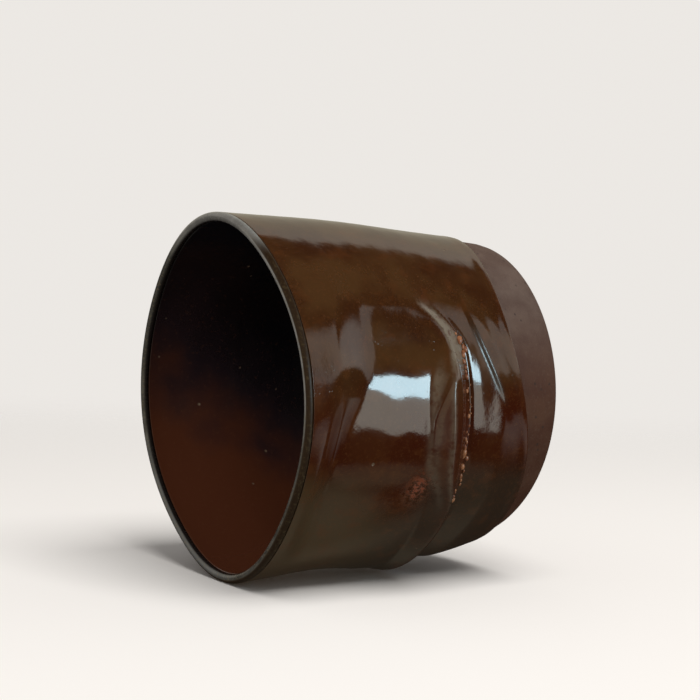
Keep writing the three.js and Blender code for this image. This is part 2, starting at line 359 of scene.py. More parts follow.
def pleat_height(side):
    climb = PLEAT_CLIMB * np.clip(side, PLEAT_CLIMB_END, PLEAT_CLIMB_START)
    return PLEAT_HEIGHT + climb - PLEAT_BEND * np.clip(side, 0, PLEAT_CLIMB_START) ** 2


def tuck(side, height):
    pleat = pleat_height(side)
    shallow = smooth(side, TUCK_STEEP_SIDE, TUCK_SHALLOW_SIDE)
    slope = TUCK_SLOPE_LOW + (TUCK_SLOPE_HIGH - TUCK_SLOPE_LOW) * shallow
    depth = slope * soft_max(height - TUCK_FOOT, 0, TUCK_EASE)
    above_pleat = smooth(height, pleat - PLEAT_EDGE, pleat + PLEAT_EDGE)
    under = crease_height(side) + TUCK_UNDER_ROLL
    return -depth * above_pleat * (1 - smooth(height, under, under + TUCK_FADE))


def roll(side, height):
    above = height - crest_height(side)
    top = roll_slope(side) * roll_width(side)
    face = top - roll_slope(side) * above
    under = top * (1 + above / (crest_height(side) - crease_height(side)))
    ridge = soft_max(soft_min(face, under, ROLL_SHARPNESS), 0, FLANK_EASE)
    return roll_strength(side) * ridge


def fold(side, height):
    above = height - crease_height(side)
    crease = CREASE_DEPTH * bell(above / CREASE_WIDTH) * roll_begun(side)
    return roll(side, height) + fold_strength(side) * (tuck(side, height) - crease)


# Furrow that leaves the crest and runs down the roll's face
def furrow(side, height):
    course = crest_height(side) + FURROW_REACH * (1 - smooth(side, FURROW_END_SIDE, FURROW_START_SIDE))
    return FURROW_DEPTH * bell((height - course) / FURROW_WIDTH) * bell((side - FURROW_SIDE) / FURROW_SPREAD)


def fine_fold(side, height):
    above = height - crest_height(side)
    streak = STREAK_HEIGHT * np.sin(2 * math.pi * above / STREAK_PITCH)
    streak = streak * bell((above - STREAK_WIDTH / 2) / STREAK_WIDTH)
    streak = streak * bell((side - STREAK_SIDE) / STREAK_SPREAD)
    return streak - furrow(side, height)


# The wall bends in once more just below the crease, and less below that
def brow(side, height):
    below = crease_height(side) - height
    bent = soft_max(BROW_DROP - below, 0, BROW_EASE)
    bent = bent - BROW_SHARE * soft_max(2 * BROW_DROP - below, 0, BROW_EASE)
    return -BROW_SLOPE * bent * smooth(below, -BROW_DROP, 0) * bell((side - BROW_SIDE) / BROW_SPREAD)


# The thumb turned as it left the clay: a twist of the flank, with shallow dents
def thumbed(side, height):
    across = side - TWIST_SIDE
    above = height - TWIST_HEIGHT
    dents = DENT_DEPTH * np.sin(2 * math.pi * side / DENT_TURN) * np.sin(2 * math.pi * height / DENT_RISE)
    return (TWIST * across * above + dents) * bell(across / TWIST_SPREAD) * bell(above / TWIST_REACH)


def lesser_pleats(side, height):
    total = 0
    for start, climb, middle, spread, width, depth in LESSER_PLEATS:
        above = (height - start - climb * side) / width
        ridge = bell(above) - PLEAT_VALLEY_SHARE * bell(above - 2)
        total = total + depth * ridge * bell((side - middle) / spread)
    return total


def hand_wave(side, height):
    turn = np.radians(side)
    slow = sum(np.sin(count * turn + height / rise + start) for count, rise, start in HAND_WAVES)
    rings = np.sin(2 * math.pi * height / THROWING_RING_PITCH + turn)
    settled = smooth(height, GLAZE_LINE_HEIGHT, CREASE_HEIGHT)
    return settled * (HAND_WAVE * slow + THROWING_RING_HEIGHT * rings)


def outside_press(side, height):
    wide = mouth_squaring(side, height) + sag(side, height) + hollow(side, height)
    fine = fine_fold(side, height) + lesser_pleats(side, height) + hand_wave(side, height)
    return wide + fold(side, height) + fine + brow(side, height) + thumbed(side, height)


def inside_press(side, height):
    above = (height - crease_height(side)) / INSIDE_FOLD_WIDTH
    bulge = INSIDE_FOLD_DEPTH * fold_strength(side) * bell(above)
    wide = mouth_squaring(side, height) + sag(side, height) + hand_wave(side, height)
    return wide + INSIDE_HOLLOW_SHARE * hollow(side, height) - bulge


# Upward drift of the outside: the glaze line climbs on the pressed side, the crease is tilted
def drift(side, height):
    free = smooth(height, FOOT_EDGE_ROUND, GLAZE_LINE_HEIGHT)
    fading = 1 - smooth(height, GLAZE_LINE_HEIGHT, GLAZE_LINE_FREE_HEIGHT)
    across = turn_between(GLAZE_LINE_RISE_SIDE, side) / GLAZE_LINE_RISE_SPREAD
    climb = GLAZE_LINE_RISE * bell(across) * fading
    tilt = CREASE_TILT * np.sin(np.radians(side)) * bell((height - CREASE_HEIGHT) / FOLD_REACH)
    return free * (climb + tilt)


# Where the pressing takes points of the thrown form. inward runs from 0, outside, to 1, inside.
def pressed(side, radius, height, inward):
    raised = height + drift(side, height)
    leaning = outside_radius(raised) - outside_radius(height)
    outside = leaning + outside_press(side, raised)
    outwards = outside + (inside_press(side, height) - outside) * inward
    reach = np.where(radius > 0, radius + outwards, 0)
    up = raised + (height - raised) * inward
    angle = np.radians(PRESSED_SIDE + side)
    return np.stack((reach * np.cos(angle), reach * np.sin(angle), up), axis=-1)


# Profiles: rows of radius, height and inward. A count is a number of rings.
def rows(radius, height, inward):
    return np.stack(np.broadcast_arrays(radius, height, inward), axis=-1).astype(float)


# Outside wall at a depth under the glazed face, its rings crowded at the fold
def outside_wall(depth, count):
    height = np.interp(np.linspace(0, 1, count), RING_SHARES, RING_HEIGHTS)
    return rows(outside_radius(height) - depth, height, 0)


# Inside wall, floor corner and floor at a depth under the glazed face, falling to the axis
def inside_bowl(depth, wall_count, corner_count, floor_count):
    height = np.linspace(WALL_GLAZE_TOP, FLOOR_CORNER_TOP, wall_count)
    wall = rows(inside_radius(height) + depth, height, 1)
    axis = inside_radius(FLOOR_CORNER_TOP) - FLOOR_CORNER_RADIUS
    turn = np.linspace(0, math.pi / 2, corner_count + 1)[1:]
    bend = FLOOR_CORNER_RADIUS + depth
    corner = rows(axis + bend * np.cos(turn), FLOOR_CORNER_TOP - bend * np.sin(turn), 1)
    floor = rows(np.linspace(axis, 0, floor_count + 1)[1:], FLOOR_THICKNESS - depth, 1)
    wall[1] = wall[0] - (0, EDGE_RING, 0)
    return np.concatenate((wall, corner, floor))


# Lip at a depth under the glazed face, over the top from outside to inside
def lip(depth, count):
    centre = outside_radius(LIP_CENTRE_HEIGHT) - LIP_THICKNESS / 2
    bend = LIP_THICKNESS / 2 - depth
    turn = np.linspace(0, math.pi, count)
    over = rows(centre + bend * np.cos(turn), LIP_CENTRE_HEIGHT + bend * np.sin(turn), turn / math.pi)
    outer = rows(outside_radius(RIM_BAND_HEIGHT) - depth, RIM_BAND_HEIGHT, 0)
    inner = rows(inside_radius(RIM_BAND_HEIGHT) + depth, RIM_BAND_HEIGHT, 1)
    return np.concatenate((outer[None], over, inner[None]))


def clay_profile():
    edge = FOOT_RADIUS - FOOT_EDGE_ROUND
    flat = rows(np.linspace(0, edge, 9), 0, 0)
    turn = np.linspace(0, math.pi / 2, 6)[1:]
    bend = rows(edge + FOOT_EDGE_ROUND * np.sin(turn), FOOT_EDGE_ROUND * (1 - np.cos(turn)), 0)
    height = np.linspace(FOOT_EDGE_ROUND, GLAZE_LINE_HEIGHT, 8)[1:-1]
    band = rows(outside_radius(height) - SKIN_DEPTH, height, 0)
    wall = outside_wall(SKIN_DEPTH, 40)
    return np.concatenate((flat, bend, band, wall, lip(SKIN_DEPTH, 7), inside_bowl(SKIN_DEPTH, 16, 6, 3)))


# The ring below the uppermost lies close to it, so that the edge looks crisp
def outer_glaze_face():
    face = outside_wall(0, 129)
    face[-2] = face[-1] - (0, EDGE_RING, 0)
    above = (face[:, 1] - GLAZE_LINE_HEIGHT) / GLAZE_ROLL_WIDTH - 1
    face[:, 0] += GLAZE_ROLL_HEIGHT * bell(above)
    return face


# Modelling by hand: selecting, and the tube that every piece starts from
def deselect():
    bpy.ops.object.select_all(action="DESELECT")


def choose(piece):
    deselect()
    piece.select_set(True)
    bpy.context.view_layer.objects.active = piece


def select_edges(piece, wanted):
    mesh = bmesh.from_edit_mesh(piece.data)
    for edge in mesh.edges:
        edge.select = wanted(edge)
    mesh.select_flush_mode()
    bmesh.update_edit_mesh(piece.data)


def upright(edge):
    return abs(edge.verts[0].co.z - edge.verts[1].co.z) > LEVEL_WITHIN * MM


# Edges of the open ends at the foot or at the mouth of tubes
def open_end(at_mouth):
    middle = CUP_HEIGHT * MM / 2
    return lambda edge: edge.is_boundary and (edge.verts[0].co.z > middle) == at_mouth


# A plain open tube with one ring for each row of a profile. One that goes inside another is shorter.
def tube(name, ring_count, inside=0):
    deselect()
    height = CUP_HEIGHT * MM
    bpy.ops.mesh.primitive_cylinder_add(
        vertices=TURNS, radius=MOUTH_RADIUS * MM - inside, depth=height - 2 * inside,
        end_fill_type="NOTHING", location=(0, 0, height / 2)
    )
    piece = bpy.context.object
    piece.name = name
    bpy.ops.object.transform_apply(location=True, rotation=True, scale=True)
    bpy.ops.object.mode_set(mode="EDIT")
    bpy.ops.mesh.select_mode(type="EDGE")
    spans = ring_count - 1
    coarse = next(step for step in range(1, spans + 1) if spans % step == 0 and spans // step <= MOST_CUTS)
    for cuts in (coarse, spans // coarse):
        if cuts > 1:
            select_edges(piece, upright)
            bpy.ops.mesh.subdivide(number_cuts=cuts - 1)
    bpy.ops.object.mode_set(mode="OBJECT")
    return piece


# Draws the ends of a tube together on the axis
def close_on_axis(piece, ends):
    choose(piece)
    bpy.ops.object.mode_set(mode="EDIT")
    for at_mouth in ends:
        select_edges(piece, open_end(at_mouth))
        bpy.ops.mesh.merge(type="CENTER")
    bpy.ops.object.mode_set(mode="OBJECT")


# Bridges the ends of two tubes, one inside the other
def bridge_ends(piece, ends):
    choose(piece)
    bpy.ops.object.mode_set(mode="EDIT")
    for at_mouth in ends:
        select_edges(piece, open_end(at_mouth))
        bpy.ops.mesh.bridge_edge_loops()
    bpy.ops.object.mode_set(mode="OBJECT")


def turn_side(angle):
    even = angle % (2 * math.pi) - math.pi
    crowded = even - TURN_CROWDING * np.sin(even)
    return turn_between(0, TURN_CROWDING_SIDE + np.degrees(crowded))


# Notes on every point of a tube which row of its profile it belongs to
def mark_rows(piece, row_count, first_row=0):
    place = np.empty(len(piece.data.vertices) * 3)
    piece.data.vertices.foreach_get("co", place)
    height = place[2::3]
    share = (height - height.min()) / (height.max() - height.min())
    row = np.round(share * (row_count - 1)).astype(np.int32) + first_row
    piece.data.attributes.new("row", "INT", "POINT").data.foreach_set("value", row)


# Takes every point of a tube to its row of the profile, turns it to its side and presses it
def press(piece, profile):
    mesh = piece.data
    count = len(mesh.vertices)
    place = np.empty(count * 3)
    mesh.vertices.foreach_get("co", place)
    row = np.empty(count, np.int32)
    mesh.attributes["row"].data.foreach_get("value", row)
    mesh.attributes.remove(mesh.attributes["row"])
    side = turn_side(np.arctan2(place[1::3], place[0::3]))
    radius, height, inward = profile[row].T
    moved = pressed(side, radius, height, inward) * MM
    mesh.vertices.foreach_set("co", moved.ravel())
    choose(piece)
    bpy.ops.object.mode_set(mode="EDIT")
    bpy.ops.mesh.select_all(action="SELECT")
    bpy.ops.mesh.normals_make_consistent(inside=False)
    bpy.ops.object.mode_set(mode="OBJECT")
    bpy.ops.object.shade_smooth()
    return side, height + drift(side, height), inward


def lump_of_clay(name, profile):
    piece = tube(name, len(profile))
    close_on_axis(piece, (False, True))
    mark_rows(piece, len(profile))
    press(piece, profile)
    return piece


# A skin of glaze with its face and its back. A bowl ends on the axis.
def skin_of_glaze(name, face, back, bowl=False):
    piece = tube(name, len(face))
    behind = tube(name + "_back", len(back), SKIN_DEPTH * MM)
    if bowl:
        close_on_axis(piece, (True,))
        close_on_axis(behind, (True,))
    mark_rows(piece, len(face))
    mark_rows(behind, len(back), len(face))
    choose(piece)
    behind.select_set(True)
    bpy.ops.object.join()
    bridge_ends(piece, (False,) if bowl else (False, True))
    places = press(piece, np.concatenate((face, back)))
    return piece, places


# Point of the outer glaze's face at a side and a height, as pressed
def glaze_point(side, height):
    before = height - drift(side, height)
    before = height - drift(side, before)
    return pressed(np.float64(side), outside_radius(before), before, 0.0)


# Crumbs of clay in the crease: one crumb, copied along it and joined
def crumbs_in_crease(name):
    chance = random.Random(CRUMB_SEED)
    deselect()
    bpy.ops.mesh.primitive_ico_sphere_add(subdivisions=2, radius=MM)
    crumb = bpy.context.object
    crumb.name = name
    bpy.ops.object.mode_set(mode="EDIT")
    bpy.ops.mesh.select_all(action="SELECT")
    bpy.ops.transform.resize(value=CRUMB_FORM)
    bpy.ops.mesh.vertices_smooth(factor=0.3)
    bpy.ops.object.mode_set(mode="OBJECT")
    copies = []
    side = CRUMB_FIRST_SIDE
    while side > CRUMB_LAST_SIDE:
        big = sum(bell((side - middle) / CRUMB_BIG_SPREAD) for middle in CRUMB_BIG_SIDES)
        size = CRUMB_LEAST + big * (CRUMB_BIG_LEAST + CRUMB_BIG_CHANCE * chance.random())
        size = CRUMB_SIZE * (size + CRUMB_ODD_CHANCE * chance.random() ** 3)
        offset = CRUMB_WANDER * (chance.random() - 0.5)
        place = glaze_point(side, crease_height(side) + CRUMB_RISE + offset)
        choose(crumb)
        bpy.ops.object.duplicate()
        copy = bpy.context.object
        bpy.ops.transform.resize(value=(size * (1 + CRUMB_STRETCH * chance.random()), size, size))
        lean = math.radians(PRESSED_SIDE + side + 90) + CRUMB_LEAN * (chance.random() - 0.5)
        copy.rotation_euler = (chance.random(), CRUMB_TIP * (chance.random() - 0.5), lean)
        copy.location = place * MM
        copies.append(copy)
        gap = CRUMB_CLOSEST + CRUMB_GAP_CHANCE * chance.random() ** 2 + CRUMB_GAP_OF_SMALL * (1 - big)
        side -= math.degrees(CRUMB_SPACING * size / MOUTH_RADIUS) * gap
    bpy.data.objects.remove(crumb)
    deselect()
    for copy in copies:
        copy.select_set(True)
    bpy.context.view_layer.objects.active = copies[0]
    bpy.ops.object.join()
    piece = bpy.context.object
    piece.name = name
    bpy.ops.object.transform_apply(location=True, rotation=True, scale=True)
    bpy.ops.object.shade_smooth()
    return piece


clay = lump_of_clay("clay_of_cup", clay_profile())
outer, (outer_side, outer_height, _) = skin_of_glaze(
    "outer_glaze_of_cup", outer_glaze_face(), outside_wall(GLAZE_THICKNESS, 61)
)
liner, _ = skin_of_glaze(
    "liner_glaze_of_cup", inside_bowl(0, 60, 14, 6), inside_bowl(GLAZE_THICKNESS, 24, 8, 4), bowl=True
)
rim, (_, _, rim_inward) = skin_of_glaze("rim_glaze_of_cup", lip(0, 24), lip(GLAZE_THICKNESS, 12))
crumbs = crumbs_in_crease("crumbs_in_crease")

PIECES = (
    (clay, "clay_body", "bare_clay"),
    (outer, "outer_glaze", "outer_glaze"),
    (liner, "liner_glaze", "liner_glaze"),
    (rim, "rim_glaze", "rim_glaze"),
    (crumbs, None, "bare_clay"),
)
for piece, node, slot in PIECES:
    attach(piece, "root")
    if node:
        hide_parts(node)


# Values along the surface that the finishes read
def note(piece, name, values):
    piece.data.attributes.new(name, "FLOAT", "POINT").data.foreach_set("value", values.astype(np.float32))


def thin_glaze(side, height):
    above = height - crease_height(side)
    underside = bell((above - THIN_UNDER_ROLL) / THIN_UNDER_REACH) * fold_strength(side)
    crest = bell((height - crest_height(side)) / THIN_CREST_REACH) * fold_strength(side)
    line_height = GLAZE_LINE_HEIGHT + drift(side, np.float64(GLAZE_LINE_HEIGHT))
    line = bell((height - line_height) / THIN_LINE_REACH)
    thin = THIN_UNDER_STRENGTH * underside + THIN_CREST_STRENGTH * crest + THIN_LINE_STRENGTH * line
    return np.clip(thin, 0, 1)


# Satin where the glaze ran down the lower wall, all but the end of the hollow, and on the pleat's edge
def satin_glaze(side, height):
    glossy = bell((side - GLOSSY_SIDE) / GLOSSY_SPREAD) * bell((height - GLOSSY_HEIGHT) / GLOSSY_REACH)
    edge = bell((height - pleat_height(side)) / SATIN_PLEAT_REACH) * between(side, *SATIN_PLEAT_SIDES)
    return np.maximum(between(side, *SATIN_SIDES) * (1 - glossy), edge)


# Pale where the glaze ran off the roll, and a painted highlight along the ridge and its edges. The share is 0
# at the crease and 1 at the crest.
def bared_ridge_with_painted_highlight(side, height):
    crease = crease_height(side)
    share = (height - crease) / (crest_height(side) - crease)
    upper = between(share, *RIDGE_UPPER_SHARES) * between(side, *RIDGE_UPPER_SIDES)
    edges = sum(strength * bell((share - middle) / width) for middle, width, strength in RIDGE_LOWER_EDGES)
    lower = between(side, *RIDGE_LOWER_SIDES) * edges
    return upper + lower * (1 - furrow(side, height) / FURROW_DEPTH)


def rusty_spot(side, height):
    return bell((side - RUST_SIDE) / RUST_SPREAD) * bell((height - RUST_HEIGHT) / RUST_REACH)


MARKS = (("thin", thin_glaze), ("rust", rusty_spot), ("satin", satin_glaze), ("ridge", bared_ridge_with_painted_highlight))
for name, mark in MARKS:
    note(outer, name, mark(outer_side, outer_height))
note(rim, "inward", rim_inward)


# Shader maths: a socket that Python's operators join to others with Math nodes
class Wire:
    def __init__(self, finish, socket):
        self.finish = finish
        self.socket = socket

    def math(self, operation, *values):
        return self.finish.add("ShaderNodeMath", {"operation": operation}, dict(enumerate(values)))

    def __add__(self, other):
        return self.math("ADD", self, other)

    def __sub__(self, other):
        return self.math("SUBTRACT", self, other)

    def __rsub__(self, other):
        return self.math("SUBTRACT", other, self)

    def __mul__(self, other):
        return self.math("MULTIPLY", self, other)

    __radd__ = __add__
    __rmul__ = __mul__


# A node tree of a finish or of the world. One method adds its nodes, and sizes are millimetres.
class Finish:
    def __init__(self, tree):
        self.tree = tree
        tree.nodes.clear()

    def add(self, kind, settings=None, sockets=None, output=0):
        node = self.tree.nodes.new(kind)
        for name, value in (settings or {}).items():
            setattr(node, name, value)
        for name, value in (sockets or {}).items():
            if isinstance(value, Wire):
                self.tree.links.new(value.socket, node.inputs[name])
            else:
                node.inputs[name].default_value = value
        return Wire(self, node.outputs[output]) if node.outputs else node

    # Place on the object in millimetres
    def place(self, stretch=(1, 1, 1)):
        spot = self.add("ShaderNodeTexCoord", output="Object")
        scale = tuple(side / MM for side in stretch)
        return self.add("ShaderNodeVectorMath", {"operation": "MULTIPLY"}, {0: spot, 1: scale})

    # X, Y or Z of a place
    def along(self, axis, place):
        return self.add("ShaderNodeSeparateXYZ", {}, {"Vector": place}, axis)

    def noise(self, place, size, detail=2.0, roughness=0.5):
        sockets = {"Vector": place, "Scale": 1 / size, "Detail": detail, "Roughness": roughness}
        return self.add("ShaderNodeTexNoise", {}, sockets)

    # Distance to the nearest of points strewn about as far apart as size
    def specks(self, place, size):
        return self.add("ShaderNodeTexVoronoi", {"feature": "F1"}, {"Vector": place, "Scale": 1 / size})

    def noted(self, name):
        return self.add("ShaderNodeAttribute", {"attribute_name": name}, output="Fac")

    def step(self, value, low, high):
        sockets = {"Value": value, "From Min": low, "From Max": high}
        return self.add("ShaderNodeMapRange", {"interpolation_type": "SMOOTHSTEP"}, sockets)

    # Rises from begin to whole, and falls from fade to end
    def span(self, value, begin, whole, fade, end):
        return self.step(value, begin, whole) * (1 - self.step(value, fade, end))

    def blend(self, share, first, second):
        sockets = {0: share, 6: full(first), 7: full(second)}
        return self.add("ShaderNodeMix", {"data_type": "RGBA"}, sockets, 2)

    def bump(self, height, strength, distance, under=None):
        sockets = {"Height": height, "Strength": strength, "Distance": distance * MM}
        if under:
            sockets["Normal"] = under
        return self.add("ShaderNodeBump", {}, sockets)

    def surface(self, **sockets):
        names = {key.replace("_", " ").title().replace("Ior", "IOR"): value for key, value in sockets.items()}
        shader = self.add("ShaderNodeBsdfPrincipled", {}, {key: full(value) for key, value in names.items()})
        self.add("ShaderNodeOutputMaterial", {}, {"Surface": shader})


# A colour of three numbers gets its fourth
def full(value):
    return (*value, 1) if isinstance(value, tuple) and len(value) == 3 else value


def new_finish(name):
    material = bpy.data.materials.new(name)
    material.use_nodes = True
    return material, Finish(material.node_tree)


# Dark amber iron glaze, pitted, thin and rusty in the crease
def amber_glaze():
    material, finish = new_finish("dark_amber_glaze")
    place = finish.place()
    # Red low on the lying cup, amber above, and olive, with painted sheen and shade, at the bottom near the
    # mouth and where it is satin
    cloud = finish.step(finish.noise(place, 14, 3), 0.35, 0.65)
    amber = finish.blend(cloud, (0.030, 0.0085, 0.0022), (0.049, 0.0190, 0.0055))
    red = finish.blend(cloud, (0.034, 0.0050, 0.0012), (0.042, 0.0098, 0.0026))
    across = finish.along("X", place) + finish.noise(place, 12, 2) * 16
    colour = finish.blend(finish.step(across, 2, 16), red, amber)
    rise = finish.along("Z", place)
    # The olive's grey-green is a painted sheen of the floor, and its darker end towards the foot is painted
    # shade on the down-facing wall
    olive_with_painted_sheen_and_shade = finish.blend(finish.step(rise, 36, 60), (0.022, 0.0110, 0.0042), (0.050, 0.0262, 0.0105))
    satin = finish.noted("satin")
    colour = finish.blend(finish.step(across - 0.6 * (rise - 58), -28, -12), olive_with_painted_sheen_and_shade, colour)
    # Where the glaze is satin it takes the olive, with its painted sheen and shade
    colour = finish.blend(satin * 0.8, colour, olive_with_painted_sheen_and_shade)
    # Mottles, flecks, pits and a few blisters
    mottle = finish.step(finish.noise(place, 5, 4, 0.6), 0.52, 0.68)
    colour = finish.blend(mottle * 0.35, colour, (0.070, 0.0195, 0.0048))
    fleck = finish.step(finish.noise(place, 0.8, 3, 0.7), 0.52, 0.72)
    colour = finish.blend(fleck * 0.4, colour, (0.085, 0.028, 0.008))
    pit = (1 - finish.step(finish.specks(place, 1.4), 0.04, 0.12)) * finish.noise(place, 6, 2)
    colour = finish.blend(pit * 0.6, colour, (0.11, 0.034, 0.010))
    blister = 1 - finish.step(finish.specks(place, 11), 0.025, 0.05)
    colour = finish.blend(blister * 0.7, colour, (0.13, 0.085, 0.055))
    # Thin glaze on the fold, the ridge that it ran off with its painted highlight, and the rusty spot
    thin = finish.noted("thin") * finish.step(finish.noise(place, 2.2, 3), 0.3, 0.6)
    colour = finish.blend(thin * 0.8, colour, (0.060, 0.0125, 0.0035))
    # The ridge's pale is partly glaze run thin and partly a painted highlight
    ridge = finish.noted("ridge") * finish.step(finish.noise(place, 1.6, 3), 0.2, 0.55)
    colour = finish.blend(ridge, colour, (0.115, 0.082, 0.054))
    crumbly = finish.step(finish.noise(place, 1.3, 4, 0.7), 0.45, 0.6) * finish.noted("rust")
    colour = finish.blend(crumbly, colour, (0.21, 0.042, 0.013))
    rough = 0.07 + finish.noise(place, 3, 3) * 0.06 + thin * 0.15 + crumbly * 0.35
    rough = rough + satin * 0.25 + ridge * 0.2
    skin = finish.bump(finish.noise(place, 5, 2), 0.16, 0.4)
    skin = finish.bump(finish.noise(place, 1.6, 2), 0.07, 0.12, skin)
    skin = finish.bump(finish.noise(place, 0.5, 2), 0.10, 0.08, skin)
    skin = finish.bump(pit, 0.3, -0.06, skin)
    skin = finish.bump(crumbly, 0.45, 0.4, skin)
    skin = finish.bump(blister, 0.5, -0.2, skin)
    finish.surface(base_color=colour, roughness=rough, normal=skin, ior=1.5)
    return material


# Red-brown glaze that runs to black on one side of the bowl, partly painted shade, through a plum that is a
# painted sheen
def liner_glaze():
    material, finish = new_finish("red_brown_liner_glaze")
    place = finish.place()
    # Red near the mouth on the lower side of the lying cup, then a plum that is a painted sheen, then black
    # deep in the bowl and on its upper side, which is partly painted shade
    course = finish.along("X", place) - finish.along("Z", place) * 0.7 + finish.noise(place, 12, 3) * 34
    colour = finish.blend(finish.step(course, -46, -14), (0.080, 0.024, 0.011), (0.019, 0.012, 0.015))
    colour = finish.blend(finish.step(course, -20, 8), colour, (0.0062, 0.0066, 0.0085))
    fleck = finish.step(finish.noise(place, 1.2, 3, 0.7), 0.55, 0.75)
    colour = finish.blend(fleck * 0.25, colour, (0.11, 0.045, 0.022))
    pit = 1 - finish.step(finish.specks(place, 8), 0.02, 0.07)
    colour = finish.blend(pit, colour, (0.16, 0.11, 0.075))
    skin = finish.bump(finish.noise(place, 6, 2), 0.15, 0.5)
    skin = finish.bump(pit, 0.5, -0.2, skin)
    rough = 0.10 + finish.noise(place, 4, 3) * 0.10
    finish.surface(base_color=colour, roughness=rough, normal=skin, ior=1.5)
    return material


# Grey lip where the glaze ran thin, with khaki specks, and painted highlights, reflection and shade
def rim_glaze():
    material, finish = new_finish("dark_grey_rim_glaze")
    place = finish.place()
    cloud = finish.step(finish.noise(place, 5, 3), 0.35, 0.65)
    speck = finish.step(finish.noise(place, 0.7, 3, 0.7), 0.52, 0.66)
    across = finish.along("X", place)
    far = finish.step(finish.along("Y", place), -8, 8)
    top = finish.step(across, 34, 43)
    # Painted light on the lip: a painted highlight on the near side, a painted reflection low on the far
    # side, painted shade high on the far side, and a paler, painted lit grey at the top of the lying cup
    pale = finish.blend(cloud, (0.15, 0.144, 0.131), (0.22, 0.211, 0.193))
    colour = finish.blend(cloud, (0.050, 0.046, 0.039), (0.115, 0.109, 0.096))
    painted_highlight_grey = finish.blend(cloud, (0.22, 0.213, 0.197), (0.33, 0.32, 0.30))
    colour = finish.blend(finish.step(across, -14, 6) * (1 - far), colour, painted_highlight_grey)
    colour = finish.blend((1 - finish.step(across, -26, -6)) * far * 0.7, colour, (0.15, 0.15, 0.147))
    colour = finish.blend(finish.step(across, -6, 12) * far * 0.6, colour, (0.03, 0.028, 0.025))
    colour = finish.blend(top, colour, pale)
    colour = finish.blend(speck * 0.5 * (1 - top), colour, (0.16, 0.12, 0.065))
    # Brown outside and dark inside, so that the grey is a line over the lip
    inward = finish.noted("inward")
    outside = (1 - finish.step(inward, 0.36, 0.48)) * (1 - top)
    inside = finish.step(inward, 0.72, 0.86)
    khaki = finish.blend(speck, (0.019, 0.0085, 0.0032), (0.042, 0.025, 0.010))
    colour = finish.blend(outside, colour, khaki)
    colour = finish.blend(inside, colour, (0.012, 0.009, 0.008))
    skin = finish.bump(finish.noise(place, 0.6, 3), 0.25, 0.1)
    rough = 0.22 + speck * 0.2 + outside * 0.2
    metal = cloud * 0.2 * (1 - outside) * (1 - inside)
    finish.surface(base_color=colour, roughness=rough, metallic=metal, normal=skin, ior=1.25)
    return material


# Bare vitrified clay with sand in it
def bare_clay():
    material, finish = new_finish("bare_brown_clay")
    place = finish.place()
    cloud = finish.step(finish.noise(place, 9, 4, 0.6), 0.3, 0.7)
    # Paler on the upper side of the lying cup: a painted sheen where the top catches the light
    upper = finish.step(finish.along("X", place), -4, 26)
    pale = finish.blend(cloud, (0.068, 0.037, 0.0275), (0.102, 0.064, 0.049))
    red = finish.blend(cloud, (0.050, 0.0150, 0.0070), (0.068, 0.026, 0.0135))
    colour = finish.blend(upper, red, pale)
    sand = finish.step(finish.noise(place, 0.7, 3, 0.7), 0.55, 0.72)
    colour = finish.blend(sand * 0.3, colour, (0.11, 0.066, 0.046))
    spot = 1 - finish.step(finish.specks(place, 3.2), 0.05, 0.16)
    colour = finish.blend(spot * 0.7, colour, (0.020, 0.012, 0.009))
    skin = finish.bump(finish.noise(place, 0.8, 4, 0.65), 0.55, 0.18)
    skin = finish.bump(finish.noise(finish.place((0.25, 0.25, 1)), 1.4, 2), 0.35, 0.3, skin)
    rough = 0.62 + cloud * 0.15
    finish.surface(base_color=colour, roughness=rough, normal=skin, ior=1.25)
    return material


# Orange crumbs of clay that took little glaze
def crumb_clay():
    material, finish = new_finish("orange_crumb_clay")
    place = finish.place()
    cloud = finish.step(finish.noise(place, 2.5, 3), 0.35, 0.65)
    colour = finish.blend(cloud, (0.13, 0.032, 0.011), (0.34, 0.13, 0.052))
    skin = finish.bump(finish.noise(place, 0.5, 3), 0.5, 0.12)
    finish.surface(base_color=colour, roughness=0.3 + cloud * 0.2, normal=skin, ior=1.5)
    return material


for piece, material in ((clay, bare_clay()), (outer, amber_glaze()), (liner, liner_glaze()),
                        (rim, rim_glaze()), (crumbs, crumb_clay())):
    piece.data.materials.clear()
    piece.data.materials.append(material)

# Camera, at the photograph's viewing angle: the cup lies on its side, so +X is up in the picture
CAMERA_PLACE = Vector((17.82, -368.69, 261.52)) * MM
CAMERA_AHEAD = Vector((-0.01730, 0.85539, -0.51770)).normalized()
CAMERA_UP = Vector((0.99944, 0, -0.03341)).normalized()
CAMERA_RIGHT = CAMERA_AHEAD.cross(CAMERA_UP).normalized()
CAMERA_LENS = 84.86
CAMERA_SENSOR = 36
CAMERA_NEAR = 0.01

camera_data = bpy.data.cameras.new("camera")
camera_data.lens = CAMERA_LENS
camera_data.sensor_width = CAMERA_SENSOR
camera_data.clip_start = CAMERA_NEAR
camera = bpy.data.objects.new("camera", camera_data)
bpy.context.scene.collection.objects.link(camera)
turned = Matrix((CAMERA_RIGHT, CAMERA_AHEAD.cross(CAMERA_RIGHT) * -1, -CAMERA_AHEAD)).transposed()
camera.matrix_world = Matrix.Translation(CAMERA_PLACE) @ turned.to_4x4()
bpy.context.scene.camera = camera


# A direction as the camera has it: degrees to its right of straight back, and degrees up
def studio_direction(right, up):
    level = math.sin(math.radians(right)) * CAMERA_RIGHT - math.cos(math.radians(right)) * CAMERA_AHEAD
    return math.cos(math.radians(up)) * level + math.sin(math.radians(up)) * CAMERA_UP


